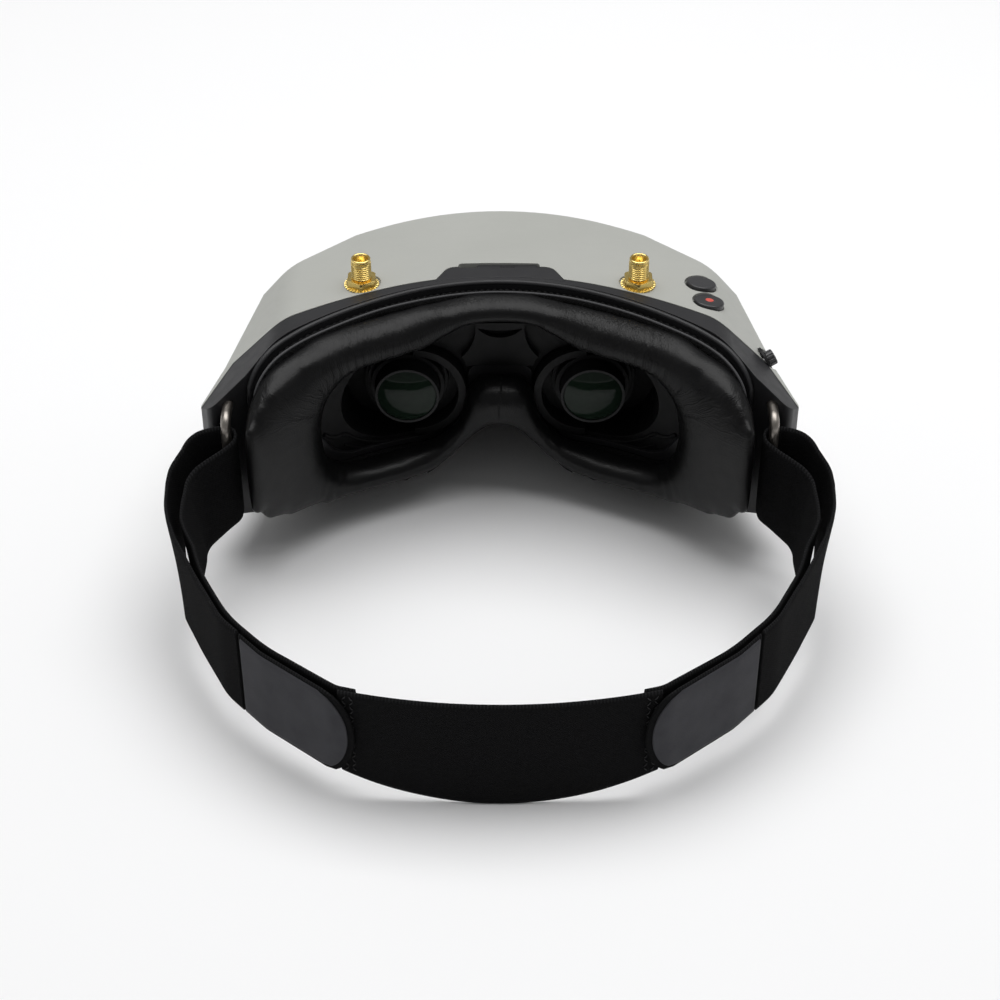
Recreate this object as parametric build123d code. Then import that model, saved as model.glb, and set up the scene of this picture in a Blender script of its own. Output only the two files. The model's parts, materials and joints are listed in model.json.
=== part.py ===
from build123d import *
from math import sqrt
import os

# FPV video goggles standing on the underside of the housing and on the edge of the head strap.
# Millimetres. +Z up, +Y towards the front of the goggles, away from the wearer, +X to the
# wearer's right. While modelling, Y = 0 is the plane of the two antenna connectors; every solid
# is written out moved along Y, so that the origin is at the bottom centre of the whole part.

os.makedirs("parts", exist_ok=True)

# ---------------------------------------------------------------- driving dimensions
FRONT_Y = 45.0            # front of the housing
REAR_Y = -151.7           # back of the head strap
MIDDLE_Y = (FRONT_Y + REAR_Y) / 2

WALL = 2.2                # housing wall
HALF_WIDTH = 91.0         # housing, centre to wing
TOP_Z = 77.0              # top of the housing at its centre
TOP_FALL = 3.4            # degrees that the top falls towards the front
BELT_Z = 8.0              # parting plane of housing and underside cover
RISE = 0.6                # slope of the underside up to the wearer, between the wings
RISE_Y = -3.0             # where that slope starts
RISE_HALF = 66.0          # half of its width
NOSE_FALL = 0.66          # slope of the nose passage down to the front
SEAM_GAP = 0.2            # gap along the visible seams

SEAM_RADIUS = 126.5       # plan arc where the pale housing ends at the rear
SEAM_APEX_Y = 1.0
FACE_RADIUS = 94.5        # plan arc of the face plate's rear surface
FACE_CENTRE_Y = -97.5
FACE_THICK = 1.4
STRIP_THICK = 1.8         # hook-and-loop strip between face plate and pad
PAD_DEPTH = 15.5

CONNECTOR_X = 43.2        # antenna connectors
THREAD_RADIUS = 3.175     # 1/4 inch thread
NECK_RADIUS = 2.8         # plain neck below the thread, inside nut and washer
THREAD_LOW_Z = 77.1
CONNECTOR_TOP_Z = 84.0

EYE_X = 29.5              # half of the narrowest eye spacing
EYE_Z = 41.0
EYE_TRAVEL = 6.5          # each eye carriage, outwards
FOCUS_TRAVEL = 2.0        # lens barrel, each way
LENS_RADIUS = 9.65        # rim of the lens, in its seat
LENS_SIGHT = 9.3          # part of the lens that shows
BARREL_RADIUS = 10.2
SHROUD_RADIUS = 16.4
SHROUD_IN = 2.3           # centre of the shroud, inwards of the lens
SHROUD_DOWN = 2.5         # and below it
SHROUD_Z = EYE_Z - SHROUD_DOWN
RUNNING = 0.05            # radial running clearance of shafts and rods

ROD_RADIUS = 1.5          # guide rods of the eye carriages
ROD_Y = 6.0
ROD_TOP_Z = 57.5
ROD_LOW_Z = 24.0
ROD_HALF_LENGTH = 65.0

KNOB_Y = 15.0             # focus knobs under the eyes
KNOB_RADIUS = 6.0
KNOB_STEM = 2.0

STRAP_WIDTH = 30.0
STRAP_THICK = 1.3
BAIL_X = 82.0
BAIL_RADIUS = 1.5
BAIL_Y = -51.5            # upright of each wire bail
BAIL_TOP_Z = 58.5
BAIL_LOW_Z = 22.0

BUTTON_RADIUS = 4.7
BUTTON_TRAVEL = 0.6
BUTTONS = {"back_button": (63.3, 3.6), "record_button": (64.9, -7.2)}
BUTTON_LEAN = 8.0         # degrees that the buttons face outwards
BUTTON_FALL = 9.0         # and forwards

STICK_PLACE = (82.4, -21.9, 60.8)
STICK_PIVOT = -3.5        # height of its two tilting axes in its own frame
STICK_TURN = 16.0         # degrees that the stick's axis turns towards the front
STICK_LEAN = 65.0         # degrees of the stick's axis from vertical, outwards

VENT_TRAVEL = 5.5
FAN_Z = 47.0
FAN_Y = 11.5
FAN_HALF = 12.5

SIDES = {"left": -1, "right": 1}
BIG = 300.0


def write(shape, name):
    """Move a finished solid to the part's own origin and write it."""
    export_step(Pos(0, -MIDDLE_Y, 0) * shape, f"parts/{name}.step")


# ---------------------------------------------------------------- outlines and regions
def arc_y(radius, centre_y, x):
    """Y of a plan arc at a given X."""
    return centre_y + sqrt(radius ** 2 - x ** 2)


def plan_face(open_rear=False):
    """Housing seen from above: bowed front, tapered flanks, wings, hollow rear."""
    rear_x = 76.5
    rear_y = arc_y(FACE_RADIUS + FACE_THICK, FACE_CENTRE_Y, rear_x)
    rear_top = FACE_CENTRE_Y + FACE_RADIUS + FACE_THICK
    flank = [(HALF_WIDTH - 4.0, -46.0), (HALF_WIDTH, -40.0), (84.6, -25.0), (75.34, 8.6)]
    corner = (47.0, 33.2)
    if open_rear:
        flank[0] = (HALF_WIDTH, -70.0)
    side = [(-x, y) for x, y in flank]
    hollow = Curve() + [
        Polyline(side[0], (-rear_x, rear_y)),
        ThreePointArc((-rear_x, rear_y), (0, rear_top), (rear_x, rear_y)),
        Polyline((rear_x, rear_y), flank[0]),
    ]
    outline = Curve() + [
        Line(side[0], flank[0]) if open_rear else hollow,
        Polyline(*flank),
        ThreePointArc(flank[-1], (61.5, 20.6), corner),
        ThreePointArc(corner, (0, FRONT_Y), (-corner[0], corner[1])),
        ThreePointArc((-corner[0], corner[1]), (-61.5, 20.6), side[-1]),
        Polyline(*side),
    ]
    face = make_face(outline)
    if open_rear:
        return face
    wing_tips = [v for v in face.vertices() if v.Y < -39.0 and abs(v.X) > 86.0]
    return fillet(wing_tips, 3.0)


def prism(face, low, high):
    """Upright prism of a plan face between two heights."""
    return Pos(0, 0, low) * extrude(face, high - low)


def along_y(outline, front, rear):
    """Prism along Y of an outline given as X and Z."""
    face = make_face(Plane.XZ * outline)
    return Pos(0, front, 0) * extrude(face, front - rear, dir=(0, -1, 0))


def along_x(outline, half):
    """Prism along X of an outline given as Y and Z."""
    return extrude(make_face(Plane.YZ * outline), half, both=True)


def roof(inset):
    """Everything under the top surface: a shallow arch with a sloped facet on each flank."""
    ridge_x = 67.0 - inset * 0.36
    ridge_z = TOP_Z - 5.0 - inset
    wide = 150.0
    arch = FilletPolyline(
        (-wide, -wide), (-wide, ridge_z - (wide - ridge_x) * 0.79), (-ridge_x, ridge_z),
        (0, TOP_Z + 1.8 - inset),
        (ridge_x, ridge_z), (wide, ridge_z - (wide - ridge_x) * 0.79), (wide, -wide),
        radius=[0, 14, 360, 14, 0], close=False)
    lower = Line((wide, -wide), (-wide, -wide))
    return Rot(-TOP_FALL, 0, 0) * along_y(arch + lower, 80, -80)


def belly(inset):
    """Everything above the underside: flat for the rest face, rising to the wings and front."""
    ends = Polyline((-80, 60), (-80, 36 + inset), (-11, inset), (37, inset), (80, 60 + inset),
                    (80, 120), (-80, 120), (-80, 60))
    flanks = Polyline((-120, 120), (-120, 36 + inset), (-60, inset), (60, inset),
                      (120, 36 + inset), (120, 120), (-120, 120))
    front = RISE_Y + inset * (sqrt(1 + RISE ** 2) - 1) / RISE
    high = inset + RISE * (front + 80)
    rise = Polyline((front, -5), (front, inset), (-80, high), (-80, -5), (front, -5))
    return (along_x(ends, 120) & along_y(flanks, 80, -80)) - along_x(rise, RISE_HALF + inset)


def block(inset, open_rear=False):
    """The housing's outside, moved inwards all round by a given amount."""
    plan = plan_face(open_rear)
    if inset:
        plan = offset(plan, -inset, kind=Kind.INTERSECTION)
    return prism(plan, 0, 110) & roof(inset) & belly(inset)


def behind_seam(shift):
    """Plan region behind the rear seam of the pale housing, moved forwards by shift."""
    seam_x = 69.0
    seam_centre = SEAM_APEX_Y - SEAM_RADIUS
    seam_y = arc_y(SEAM_RADIUS, seam_centre, seam_x) + shift
    outline = Curve() + [
        ThreePointArc((-seam_x, seam_y), (0, SEAM_APEX_Y + shift), (seam_x, seam_y)),
        Polyline((seam_x, seam_y), (82, seam_y - 5.9), (110, seam_y - 55.5), (110, -120),
                 (-110, -120), (-110, seam_y - 55.5), (-82, seam_y - 5.9), (-seam_x, seam_y)),
    ]
    return prism(make_face(outline), -5, 120)


def ring_band(inner, outer):
    """Upright curved band concentric with the face plate, in front of the wearer's face."""
    centre = Pos(0, FACE_CENTRE_Y, -5)
    band = centre * (Cylinder(outer, 120, align=(Align.CENTER, Align.CENTER, Align.MIN))
                     - Cylinder(inner, 120, align=(Align.CENTER, Align.CENTER, Align.MIN)))
    front_half = Pos(0, FACE_CENTRE_Y + 60, 50) * Box(2 * BIG, 88, 300)
    return band & front_half


def tunnel(grow):
    """Slanted passage for the nose: an arch that falls towards the front."""
    outline = FilletPolyline(
        (-62, -80), (-35.5 - grow, 3 + grow * 0.4), (-21 - grow, 13 + grow * 0.6),
        (-4.2 - grow * 0.6, 34 + grow), (4.2 + grow * 0.6, 34 + grow),
        (21 + grow, 13 + grow * 0.6), (35.5 + grow, 3 + grow * 0.4), (62, -80),
        radius=[10, 14, 4, 4, 14, 10], close=False)
    face = make_face(Plane.XZ * (outline + Line((62, -80), (-62, -80))))
    fall = Vector(0, 1, -NOSE_FALL)
    return Pos(0, -75, 59.5 * NOSE_FALL) * extrude(face, 150 * fall.length, dir=fall.normalized())


def face_outline(inset):
    """Outer outline of face plate, strip and pad, as X and Z."""
    half = 76.0 - inset
    top = 72.5 - inset
    low = 10.0 + inset
    return FilletPolyline(
        (-half, low + 8), (-half, top - 1.5), (0, top + 5.4), (half, top - 1.5), (half, low + 8),
        (57, low + 3), (40, low), (-40, low), (-57, low + 3),
        radius=[9, 13 - inset, 380, 13 - inset, 9, 20, 20, 20, 20], close=True)


def opening_outline(grow):
    """Inner outline of face plate, strip and pad: both eyes and the bridge between them."""
    half = 57.5 + grow
    top = 60.5 + grow
    low = 20.5 - grow
    return FilletPolyline(
        (-half, low + 12), (-half + 3, top - 2), (-22, top), (-13 - grow, top + 8),
        (13 + grow, top + 8), (22, top), (half - 3, top - 2), (half, low + 12),
        (half - 6, low), (23 - grow, low), (10.2 - grow, 30), (10.2 - grow, 46 - grow),
        (-10.2 + grow, 46 - grow), (-10.2 + grow, 30), (-23 + grow, low), (-half + 6, low),
        radius=[6, 13, 9, 5, 5, 9, 13, 6, 9, 8, 6, 3, 3, 6, 8, 9], close=True)


def face_ring(inner, outer, inset, grow):
    """One layer of the stack on the face plate."""
    solid = along_y(face_outline(inset), 20, -90) - along_y(opening_outline(grow), 30, -95)
    return (solid & ring_band(inner, outer)) - tunnel(0)


def stadium(x, z, radius, travel, side):
    """Outline swept by a circle that moves outwards, as X and Z."""
    face = Pos(x * side + travel * side / 2, z) * SlotCenterToCenter(max(travel, 0.01), 2 * radius)
    return face


def bore_y(x, z, radius, front, rear):
    """Cylinder along Y."""
    rod = Cylinder(radius, front - rear, rotation=(90, 0, 0))
    return Pos(x, (front + rear) / 2, z) * rod


def bore_z(x, y, radius, low, high):
    """Cylinder along Z."""
    return Pos(x, y, low) * Cylinder(radius, high - low,
                                     align=(Align.CENTER, Align.CENTER, Align.MIN))


def slot_y(x, z, radius, travel, side, front, rear):
    """Stadium prism along Y, for what moves outwards with an eye."""
    plane = Plane(origin=(0, front, 0), x_dir=(1, 0, 0), z_dir=(0, -1, 0))
    return extrude(plane * stadium(x, z, radius, travel, side), front - rear)


def slot_z(x, y, radius, travel, side, low, high):
    """Upright stadium prism, for what moves outwards with an eye."""
    face = Pos(x * side + travel * side / 2, y) * SlotCenterToCenter(travel, 2 * radius)
    return Pos(0, 0, low) * extrude(face, high - low)


def button_frame(name):
    """Local frame of a push button, with Z = 0 on the housing's surface."""
    x, y = BUTTONS[name]
    z = 72.0 - 0.06 * y - (x - 62.9) * 0.3
    return Location((x, y, z), (-BUTTON_FALL, BUTTON_LEAN, 0))


def stick_frame():
    """Local frame of the navigation stick, with Z = 0 on the housing's surface."""
    return Location(STICK_PLACE) * Rot(0, 0, STICK_TURN) * Rot(0, STICK_LEAN, 0)


def side_frame(side, height=34.0):
    """Local frame of a flank's port panel: X along the flank, Y up, Z outwards."""
    return Plane(origin=(side * 79.5, -6.5, height), x_dir=(0.266 * -side, 0.964, 0),
                 z_dir=(side * 0.964, 0.266, 0))


def disc(radius, low, high):
    """Upright cylinder between two heights of a local frame."""
    return Pos(0, 0, low) * Cylinder(radius, high - low,
                                     align=(Align.CENTER, Align.CENTER, Align.MIN))


def rounded_box(x0, x1, y0, y1, z0, z1, radius):
    """Box with rounded upright edges."""
    face = Pos((x0 + x1) / 2, (y0 + y1) / 2) * RectangleRounded(x1 - x0, y1 - y0, radius)
    return prism(face, z0, z1)


def box(x0, x1, y0, y1, z0, z1):
    """Plain box between limits, for cuts and small blocks."""
    centre = Pos((x0 + x1) / 2, (y0 + y1) / 2, (z0 + z1) / 2)
    return centre * Box(x1 - x0, y1 - y0, z1 - z0)


# ---------------------------------------------------------------- housing
TAB_DEPTH = 1.2
SLOT_X = (-13.1, 12.5)
SLOT_Y = (1.6, 4.6)
POST_PLACES = [(-57, 19.5), (57, 19.5)]
BRACKET_X = 62.5
SCREW_PLACES = [(-BRACKET_X, ROD_Y), (BRACKET_X, ROD_Y)] + POST_PLACES
WINDOW = (34.0, 20.0, 58.0)       # front grille: half width, low and high edge
PANEL = (29.0, 14.0)              # port panel on each flank
DISH = 5.35                       # shallow dish round each button


def tab_prism(grow):
    """Plan of the central tab of the rear frame, which laps over the housing's top."""
    face = make_face(FilletPolyline(
        (-25 - grow, -12), (-16.2 - grow, 6.9 + grow), (16.2 + grow, 6.9 + grow),
        (25 + grow, -12), radius=[4, 4], close=False) + Line((25 + grow, -12), (-25 - grow, -12)))
    return prism(face, 50, 100)


def vent_slot():
    """Opening for the vent slider through the tab and the housing's top."""
    length = SLOT_X[1] - SLOT_X[0]
    width = SLOT_Y[1] - SLOT_Y[0]
    middle = Pos((SLOT_X[0] + SLOT_X[1]) / 2, (SLOT_Y[0] + SLOT_Y[1]) / 2)
    return Rot(-TOP_FALL, 0, 0) * prism(middle * RectangleRounded(length, width, 1.2), 66, 90)


def grille_prism(grow):
    """Rounded window in the middle of the housing's front."""
    half, low, high = WINDOW
    face = RectangleRounded(2 * (half + grow), high - low + 2 * grow, 9 + grow)
    plane = Plane(origin=(0, 60, (low + high) / 2), x_dir=(1, 0, 0), z_dir=(0, -1, 0))
    return extrude(plane * face, 50)


def front_housing():
    """Pale outer shell: top, front and flanks in one moulding, open to the rear and below."""
    cavity = block(WALL, open_rear=True)
    shell = block(0) - cavity
    for x, y in POST_PLACES:
        shell += bore_z(x, y, 2.6, BELT_Z, 90) & roof(1.0)
    for name in BUTTONS:
        shell += (button_frame(name) * disc(DISH + 0.9, -3.4, -0.4)) & block(0.4)
    for name in BUTTONS:
        frame = button_frame(name)
        shell -= frame * disc(DISH + 0.9, -8.0, -3.4)
        shell -= frame * disc(DISH, -0.5, 6.0)
        shell -= frame * disc(BUTTON_RADIUS + 0.2, -8.0, 3.0)
    stick = stick_frame()
    shell += (stick * disc(6.0, -5.2, -0.6)) & block(0.4)
    shell -= stick * disc(4.5, -0.9, 9.0)
    shell -= stick * disc(3.3, -9.0, 3.0)
    shell -= behind_seam(0)
    shell -= box(-BIG, BIG, -BIG, BIG, -5, BELT_Z)
    shell -= box(-RISE_HALF - WALL, RISE_HALF + WALL, -40, -10, 0, BELT_Z + 4.5)
    for side in SIDES.values():
        shell -= bore_z(side * CONNECTOR_X, 0, 6.0, 74.2, 90)
        shell -= bore_z(side * CONNECTOR_X, 0, THREAD_RADIUS + 0.1, 60, 90)
        panel = side_frame(side)
        shell -= extrude(panel * RectangleRounded(PANEL[0] + 0.4, PANEL[1] + 0.4, 2.2), 4, both=True)
    for x, y in POST_PLACES:
        shell -= bore_z(x, y, 1.0, 0, 15)
    shell -= tab_prism(SEAM_GAP) - roof(TAB_DEPTH + 0.1)
    shell -= vent_slot()
    return shell - grille_prism(SEAM_GAP)


def front_grille():
    """Black louvred panel in the front window."""
    panel = (block(0.6) - block(2.8, open_rear=True)) & grille_prism(0)
    half, low, high = WINDOW
    for row in range(7):
        z = low + 7.0 + row * 4.0
        for side in SIDES.values():
            slot = Pos(side * 15.5, 40, z) * Rot(-90, 0, 0) * extrude(
                SlotOverall(25 - abs(row - 3) * 1.5, 1.8), 12, both=True)
            panel -= slot
    return panel


def knob_pan(radius, low, high):
    """Region swept by a focus knob of a given radius, both eyes."""
    pans = Part()
    for side in SIDES.values():
        pans += slot_z(EYE_X, KNOB_Y, radius, EYE_TRAVEL, side, low, high)
    return pans


def underside_cover():
    """Lower cover with the rest face and the recesses of the two focus knobs."""
    belt = box(-BIG, BIG, -BIG, BIG, -5, BELT_Z - 0.1)
    cover = (block(0) - block(WALL, open_rear=True)) & belt
    cover += knob_pan(KNOB_RADIUS + 2.6, 0.5, 9.6)
    cover -= knob_pan(KNOB_RADIUS + 1.0, -5, 8.2)
    cover -= knob_pan(KNOB_STEM + 0.4, 5, 12)
    for x, y in SCREW_PLACES:
        cover += bore_z(x, y, 3.0, 0.2, BELT_Z - 0.1) & belly(0)
        cover -= bore_z(x, y, 1.1, -1, 10)
        cover -= bore_z(x, y, 2.2, -1, 2.0)
    cover -= behind_seam(0)
    return cover - tunnel(1.7)


def cover_screws():
    """Four small pan-head screws that hold the underside cover."""
    screws = Part()
    for x, y in SCREW_PLACES:
        head = bore_z(x, y, 1.9, 0.5, 2.0) - Pos(x, y, 0) * Box(2.4, 0.5, 2.0)
        screws += head + bore_z(x, y, 1.0, 2.0, 14)
    return screws


def rear_frame():
    """Black frame that closes the rear, carries the wire bails and laps into the housing."""
    visible = block(0.1) & behind_seam(-SEAM_GAP)
    lap = (block(WALL + 0.2) & behind_seam(4.0)) - behind_seam(-SEAM_GAP)
    for name in BUTTONS:
        lap -= button_frame(name) * disc(DISH + 1.2, -9.0, 0)
    lap -= stick_frame() * disc(6.3, -10.0, 0)
    for side in SIDES.values():
        lap -= bore_z(side * CONNECTOR_X, 0, 6.0, 60, 90)
        lap -= extrude(side_frame(side) * Rectangle(PANEL[0] + 2, PANEL[1]), 12, both=True)
    frame = visible + lap
    hollow = block(4.8, open_rear=True)
    frame -= hollow & box(-73, 73, -BIG, BIG, -BIG, BIG)
    frame -= hollow & box(-BIG, BIG, -33, BIG, -BIG, BIG)
    frame -= vent_slot()
    frame -= Rot(-TOP_FALL, 0, 0) * box(-14.5, 14.5, -0.3, 11, 60, TOP_Z - TAB_DEPTH)
    frame += (tab_prism(0) & block(0)) - roof(TAB_DEPTH) - behind_seam(-1.0)
    frame -= vent_slot()
    for side in SIDES.values():
        for z in (BAIL_TOP_Z, BAIL_LOW_Z):
            frame -= bore_y(side * BAIL_X, z, BAIL_RADIUS + 0.02, -36.5, -60)
    frame -= stick_frame() * disc(4.5, -0.9, 9.0)
    frame -= stick_frame() * disc(3.5, -9.0, 0)
    frame -= stick_frame() * disc(5.4, -10.0, -5.0)
    return frame - tunnel(1.7)


def nose_arch():
    """Thin moulded passage above the nose, from the face plate to the front of the underside."""
    arch = (tunnel(1.6) - tunnel(0)) & block(0.2)
    return arch & box(-24, 24, -30, 40, 0, 60)


# ---------------------------------------------------------------- face side
def face_plate():
    """Curved removable plate that carries the pad."""
    return face_ring(FACE_RADIUS, FACE_RADIUS + FACE_THICK - 0.1, 0, 0)


def hook_strip():
    """Hook-and-loop strip that holds the pad on the face plate."""
    return face_ring(FACE_RADIUS - STRIP_THICK, FACE_RADIUS - 0.05, 2.6, 2.0)


def face_pad():
    """Foam pad covered in soft leatherette, as one plain solid."""
    rear_radius = 86.8
    rear_apex = FACE_CENTRE_Y + FACE_RADIUS - STRIP_THICK - PAD_DEPTH + 2.0
    outer = FACE_RADIUS - STRIP_THICK - 0.05
    ring = face_ring(outer - 40, outer, 1.0, 0)
    return ring - Pos(0, rear_apex - rear_radius, 0) * disc(rear_radius, -10, 120)


def eyepiece_plate():
    """Black inner panel with one stadium opening and light collar per eye."""
    inner = FACE_RADIUS + FACE_THICK + 0.1
    plate = ring_band(inner, inner + 1.4) & block(5.0, open_rear=True)
    plate &= box(-72.8, 72.8, -BIG, BIG, -BIG, BIG)
    hole = SHROUD_RADIUS + 0.3
    centre_x = EYE_X - SHROUD_IN
    for side in SIDES.values():
        collar = slot_y(centre_x, SHROUD_Z, hole + 1.3, EYE_TRAVEL, side, 2.6, -40)
        plate += collar - Pos(0, FACE_CENTRE_Y, 0) * disc(inner, -10, 120)
    for side in SIDES.values():
        plate -= slot_y(centre_x, SHROUD_Z, hole, EYE_TRAVEL, side, 20, -60)
    return plate - tunnel(1.7)


def nose_cover():
    """Small moulded cover between the eyes, with waisted sides and a curved finger slot."""
    outline = Curve() + [
        Polyline((-8, 62.5), (8, 62.5)),
        ThreePointArc((8, 62.5), (8.8, 55), (12.3, 50)),
        ThreePointArc((12.3, 50), (11.3, 48.4), (10.8, 46.4)),
        Polyline((10.8, 46.4), (-10.8, 46.4)),
        ThreePointArc((-10.8, 46.4), (-11.3, 48.4), (-12.3, 50)),
        ThreePointArc((-12.3, 50), (-8.8, 55), (-8, 62.5)),
    ]
    smile = Curve() + [
        ThreePointArc((-7, 60.6), (0, 57.0), (7, 60.6)),
        ThreePointArc((7, 60.6), (0, 59.6), (-7, 60.6)),
    ]
    solid = along_y(outline, 10, -20) - along_y(smile, 10, -20)
    return solid & ring_band(FACE_RADIUS - 0.9, FACE_RADIUS + FACE_THICK)


def bail(side):
    """Wire bail that the strap loops through."""
    x = side * BAIL_X
    path = FilletPolyline(
        (x, -38, BAIL_TOP_Z), (x, BAIL_Y, BAIL_TOP_Z), (x, BAIL_Y, BAIL_LOW_Z),
        (x, -38, BAIL_LOW_Z), radius=3.5)
    section = Plane(origin=path @ 0, z_dir=path % 0) * Circle(BAIL_RADIUS)
    return sweep(section, path=path)


# ---------------------------------------------------------------- head strap
def strap_height():
    """Side view of the strap: it hangs from the bails down to the level of the rear band."""
    top = [(-36, 56), (-50, 54.6), (-66, 46.5), (-82, 42.5), (-100, 39.5), (-130, 37.5),
           (-170, 37.2)]
    low = [(y, z - STRAP_WIDTH) for y, z in reversed(top)]
    return along_x(Polyline(*top, *low, top[0]), 120)


def beside(points, radii, distance):
    """One edge of a ribbon: a rounded plan route moved sideways, to its left when positive."""
    points = [Vector(*point) for point in points]
    runs = [(b - a).normalized() for a, b in zip(points, points[1:])]
    runs_in = [runs[0]] + runs
    runs_out = runs + [runs[-1]]
    moved = []
    moved_radii = []
    for point, run_in, run_out in zip(points, runs_in, runs_out):
        left_in = Vector(-run_in.Y, run_in.X)
        left_out = Vector(-run_out.Y, run_out.X)
        mitre = (left_in + left_out) * (distance / (1 + left_in.dot(left_out)))
        moved.append(point + mitre)
        moved_radii.append(distance if run_in.cross(run_out).Z > 0 else -distance)
    moved_radii = [radius - change for radius, change in zip(radii, moved_radii[1:-1])]
    return FilletPolyline(*moved, radius=moved_radii)


def ribbon(points, radii, side, low, high):
    """Upright band of the strap's thickness along a rounded plan route."""
    route = [(side * x, y) for x, y in points]
    inner = beside(route, radii, STRAP_THICK / 2)
    outer = beside(route, radii, -STRAP_THICK / 2)
    ends = Line(inner @ 0, outer @ 0) + Line(inner @ 1, outer @ 1)
    return prism(make_face(inner + outer + ends), low, high)


STRAP_ROUTE = [(43.4, -145.2), (64.5, -128.3), (76.5, -115.5), (86, -97.5), (92.2, -78),
               (91, -62.5), (79.3, -53.2), (79.3, -48.7), (84.9, -48.7), (92.8, -51.2),
               (97.5, -61.5), (97.2, -72.5), (93.6, -87), (87.8, -98.5), (78.1, -116.65),
               (73, -122.2)]
STRAP_RADII = [60, 40, 60, 30, 8, 3.5, 2.4, 2.4, 9, 9, 25, 25, 30, 25]
TAB_ROUTE = [(72.4, -122.9), (65.7, -130), (45.4, -146.5), (39.7, -148.4)]
TAB_RADII = [20, 12]


def strap(side):
    """Side strap: up from the rear seam, round the bail and back outside."""
    return ribbon(STRAP_ROUTE, STRAP_RADII, side, 0, 60) & strap_height()


def strap_tab(side):
    """Hook tab that closes the loop of a side strap on itself."""
    return ribbon(TAB_ROUTE, TAB_RADII, side, 0, 60) & strap_height()


def rear_band():
    """Wide band behind the head, deepest at its centre."""
    end = (42.7, -145.4)
    arc = ThreePointArc((-end[0], end[1]), (0, REAR_Y + STRAP_THICK / 2), end)
    band = offset(Wire(arc.edges()), STRAP_THICK / 2, side=Side.BOTH)
    deep = Curve() + [
        ThreePointArc((-60, 14.2), (0, 0), (60, 14.2)),
        Polyline((60, 14.2), (60, 37.2), (-60, 37.2), (-60, 14.2)),
    ]
    return prism(make_face(band.edges()), 0, 60) & along_y(deep, -100, -170)


# ---------------------------------------------------------------- antenna connectors
def connector(side):
    """Threaded antenna connector, soldered to the receiver board and clamped by a nut."""
    x = side * CONNECTOR_X
    body = bore_z(x, 0, NECK_RADIUS, 66.6, THREAD_LOW_Z)
    body += bore_z(x, 0, THREAD_RADIUS, THREAD_LOW_Z, CONNECTOR_TOP_Z)
    body += bore_z(x, 0, 4.4, 69.2, 71.4)
    for dx in (-2.5, 2.5):
        for dy in (-2.5, 2.5):
            body += bore_z(x + dx, dy, 0.5, 64.0, 67.0) & bore_z(x, 0, 6, 60, 70)
    body += box(x - 3.2, x + 3.2, -3.2, 3.2, 66.6, 69.2)
    return body - bore_z(x, 0, 2.35, 76.0, 90)


def connector_nuts():
    """Hexagon nuts of the antenna connectors."""
    nuts = Part()
    for side in SIDES.values():
        hexagon = RegularPolygon(8.6 / 2, 6, major_radius=False, rotation=90)
        nut = Pos(side * CONNECTOR_X, 0, 0) * prism(hexagon, 74.85, THREAD_LOW_Z)
        nut &= bore_z(side * CONNECTOR_X, 0, 4.75, 70, 80)
        nuts += nut - bore_z(side * CONNECTOR_X, 0, NECK_RADIUS + RUNNING, 70, 80)
    return nuts


def connector_washers():
    """Lock washers under the nuts."""
    washers = Part()
    for side in SIDES.values():
        x = side * CONNECTOR_X
        washers += bore_z(x, 0, 5.6, 74.25, 74.85) - bore_z(x, 0, NECK_RADIUS + RUNNING, 70, 80)
    return washers


def connector_insulators():
    """White insulators inside the connectors."""
    parts = Part()
    for side in SIDES.values():
        parts += bore_z(side * CONNECTOR_X, 0, 2.35, 76.0, 79.5)
    return parts - connector_pins()


def connector_pins():
    """Centre contacts of the connectors."""
    parts = Part()
    for side in SIDES.values():
        parts += bore_z(side * CONNECTOR_X, 0, 0.5, 76.0, 82.4)
    return parts


# ---------------------------------------------------------------- controls
def button(name):
    """Push button with a retaining flange under the housing wall."""
    cap = disc(BUTTON_RADIUS, -3.6, 1.2)
    cap = fillet(cap.edges().group_by(Axis.Z)[-1], 0.5)
    cap += disc(BUTTON_RADIUS + 0.55, -4.3, -3.5)
    return button_frame(name) * cap


def tact_switches():
    """Small switches under the two buttons and under the navigation stick."""
    parts = Part()
    for name in BUTTONS:
        parts += button_frame(name) * (disc(1.6, -5.6, -5.1) + Pos(0, 0, -6.9) * Box(6, 6, 2.6))
    return parts + stick_frame() * Pos(0, 0, -7.6) * Box(7, 7, 3.4)


def button_board():
    """Small board that carries the two button switches."""
    parts = Part()
    for name in BUTTONS:
        parts += button_frame(name) * Pos(0, 0, -8.8) * Box(9.5, 9.5, 1.2)
    return parts


def stick_bezel():
    """Dark ring round the navigation stick."""
    return stick_frame() * (disc(4.4, -0.9, -0.1) - disc(3.3, -2, 1))


def stick_cradle():
    """Gimbal ring of the navigation stick."""
    pins = Pos(0, 0, STICK_PIVOT) * Cylinder(0.45, 6.4, rotation=(90, 0, 0))
    return stick_frame() * (disc(2.9, -4.2, -2.8) + pins - disc(1.9, -6, 0))


def stick_stem():
    """Stem of the navigation stick."""
    pins = Pos(0, 0, STICK_PIVOT) * Cylinder(0.45, 3.6, rotation=(0, 90, 0))
    return stick_frame() * (disc(1.1, -5.0, 1.1) + pins)


def stick_cap():
    """Knurled cap of the navigation stick."""
    cap = disc(2.5, 0.2, 2.5)
    cap = fillet(cap.edges().group_by(Axis.Z)[-1], 0.5)
    for step in range(12):
        cap -= Rot(0, 0, step * 30) * Pos(2.6, 0, 0) * disc(0.35, 0, 6)
    return stick_frame() * (cap - disc(1.1 + RUNNING, 0, 1.7))


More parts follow.
